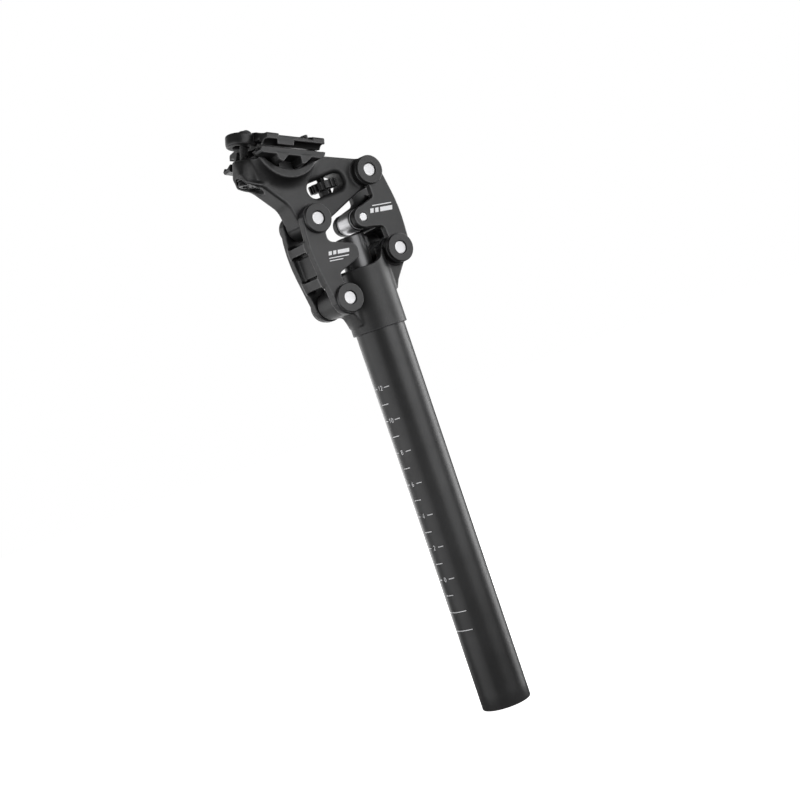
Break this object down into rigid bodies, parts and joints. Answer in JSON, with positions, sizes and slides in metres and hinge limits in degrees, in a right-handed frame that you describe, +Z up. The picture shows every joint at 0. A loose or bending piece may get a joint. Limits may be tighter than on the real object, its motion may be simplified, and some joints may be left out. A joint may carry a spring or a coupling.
{
  "type": "bicycle suspension seatpost",
  "caption": "Parallelogram-link suspension seatpost for a bicycle, with a coil spring in its tube and a tilting saddle-rail clamp.",
  "frame": {"origin": "centre of the tube's lower end", "axes": "+Z up the tube's axis, +X to the front of the bicycle, +Y to its left"},
  "size_m": [0.0944, 0.0504, 0.3787],
  "materials": {
    "black_anodised": "satin black anodised",
    "black_forged": "fine-grained satin black anodised",
    "polished_steel": "polished",
    "grey_steel": "ground, satin",
    "black_steel": "black oxide, satin",
    "bronze": "plain, oiled",
    "nylon": "matte"
  },
  "bodies": {
    "post": {"seatpost_tube": "black_anodised", "base_housing": "black_forged", "plunger_guide_bush": "nylon", "coil_spring": "grey_steel", "rear_lower_bush": "bronze", "front_lower_bush_right": "bronze", "front_lower_bush_left": "bronze"},
    "preload": {"preload_plug": "black_steel"},
    "plunger_rod": {"plunger": "grey_steel"},
    "front_arm": {"front_link": "black_anodised", "front_upper_axle": "polished_steel", "front_upper_cap_right": "black_anodised", "front_upper_cap_left": "black_anodised", "front_lower_axle": "polished_steel", "front_lower_cap_right": "black_anodised", "front_lower_cap_left": "black_anodised", "roller_axle": "polished_steel", "roller_washer_right": "black_steel", "roller_washer_left": "black_steel"},
    "rear_arm": {"rear_link": "black_anodised", "rear_upper_axle": "polished_steel", "rear_upper_cap_right": "black_anodised", "rear_upper_cap_left": "black_anodised", "rear_lower_axle": "polished_steel", "rear_lower_cap_right": "black_anodised", "rear_lower_cap_left": "black_anodised"},
    "link_roller": {"roller": "polished_steel", "roller_sleeve": "bronze"},
    "saddle_head": {"head": "black_forged", "front_upper_bush": "bronze", "rear_upper_bush": "bronze"},
    "rail_clamp": {"lower_cradle": "black_anodised", "upper_clamp": "black_anodised"},
    "front_bolt": {"front_clamp_bolt": "black_steel"},
    "adjuster": {"thumb_wheel": "black_steel"},
    "front_nut": {"front_barrel_nut": "black_steel"},
    "rear_seat": {"rear_bolt_washer": "black_steel"},
    "rear_bolt": {"rear_clamp_bolt": "black_steel"},
    "rear_nut": {"rear_barrel_nut": "black_steel"}
  },
  "joints": [
    {"name": "front_link_pivot", "type": "hinge", "parent": "post", "child": "front_arm", "pos_m": [0.0229, 0, 0.2852], "axis": [0, -1, 0], "range_deg": [0, 40], "stiffness_Nm_per_rad": 35, "springref_deg": -17.19},
    {"name": "rear_link_pivot", "type": "hinge", "parent": "post", "child": "rear_arm", "pos_m": [-0.0235, 0, 0.2651], "axis": [0, -1, 0], "range_deg": [0, 40]},
    {"name": "head_pivot", "type": "hinge", "parent": "front_arm", "child": "saddle_head", "pos_m": [0.0195, 0, 0.3357], "axis": [0, -1, 0], "range_deg": [-40, 0]},
    {"name": "plunger_slide", "type": "slide", "parent": "post", "child": "plunger_rod", "axis": [0, 0, 1], "range_m": [-0.0167, 0], "deforming": ["coil_spring"]},
    {"name": "roller_spin", "type": "hinge", "parent": "front_arm", "child": "link_roller", "pos_m": [0.0058, 0, 0.3093], "axis": [0, 1, 0], "continuous": true},
    {"name": "preload_turn", "type": "hinge", "parent": "post", "child": "preload", "pos_m": [0, 0, 0.009], "axis": [0, 0, 1], "continuous": true},
    {"name": "clamp_tilt", "type": "hinge", "parent": "saddle_head", "child": "rail_clamp", "pos_m": [-0.02859, 0, 0.37063], "axis": [0, 1, 0], "range_deg": [-6, 6]},
    {"name": "front_bolt_swivel", "type": "hinge", "parent": "saddle_head", "child": "front_bolt", "pos_m": [-0.0063, 0, 0.3348], "axis": [0, 1, 0], "range_deg": [-3, 3]},
    {"name": "front_nut_swivel", "type": "hinge", "parent": "rail_clamp", "child": "front_nut", "pos_m": [-0.00757, 0, 0.36086], "axis": [0, 1, 0], "range_deg": [-9, 9]},
    {"name": "thumb_wheel_spin", "type": "hinge", "parent": "front_bolt", "child": "adjuster", "pos_m": [-0.0063, 0, 0.3348], "axis": [-0.0488, 0, 0.9988], "continuous": true},
    {"name": "rear_bolt_swivel", "type": "hinge", "parent": "saddle_head", "child": "rear_seat", "pos_m": [-0.05609, 0, 0.34994], "axis": [0, 1, 0], "range_deg": [-1, 1]},
    {"name": "rear_bolt_turn", "type": "hinge", "parent": "rear_seat", "child": "rear_bolt", "pos_m": [-0.05609, 0, 0.34994], "axis": [0.3007, 0, 0.9537], "continuous": true},
    {"name": "rear_nut_swivel", "type": "hinge", "parent": "rail_clamp", "child": "rear_nut", "pos_m": [-0.04857, 0, 0.37378], "axis": [0, 1, 0], "range_deg": [-7, 7]}
  ],
  "couplings": [
    {"joint": "rear_link_pivot", "follows": "front_link_pivot", "ratio": 1},
    {"joint": "head_pivot", "follows": "front_link_pivot", "ratio": -1},
    {"joint": "plunger_slide", "follows": "front_link_pivot", "m_per_rad": -0.0238},
    {"joint": "front_bolt_swivel", "follows": "clamp_tilt", "ratio": -0.414},
    {"joint": "front_nut_swivel", "follows": "clamp_tilt", "ratio": -1.414},
    {"joint": "rear_bolt_swivel", "follows": "clamp_tilt", "ratio": -0.12},
    {"joint": "rear_nut_swivel", "follows": "clamp_tilt", "ratio": -1.12}
  ]
}
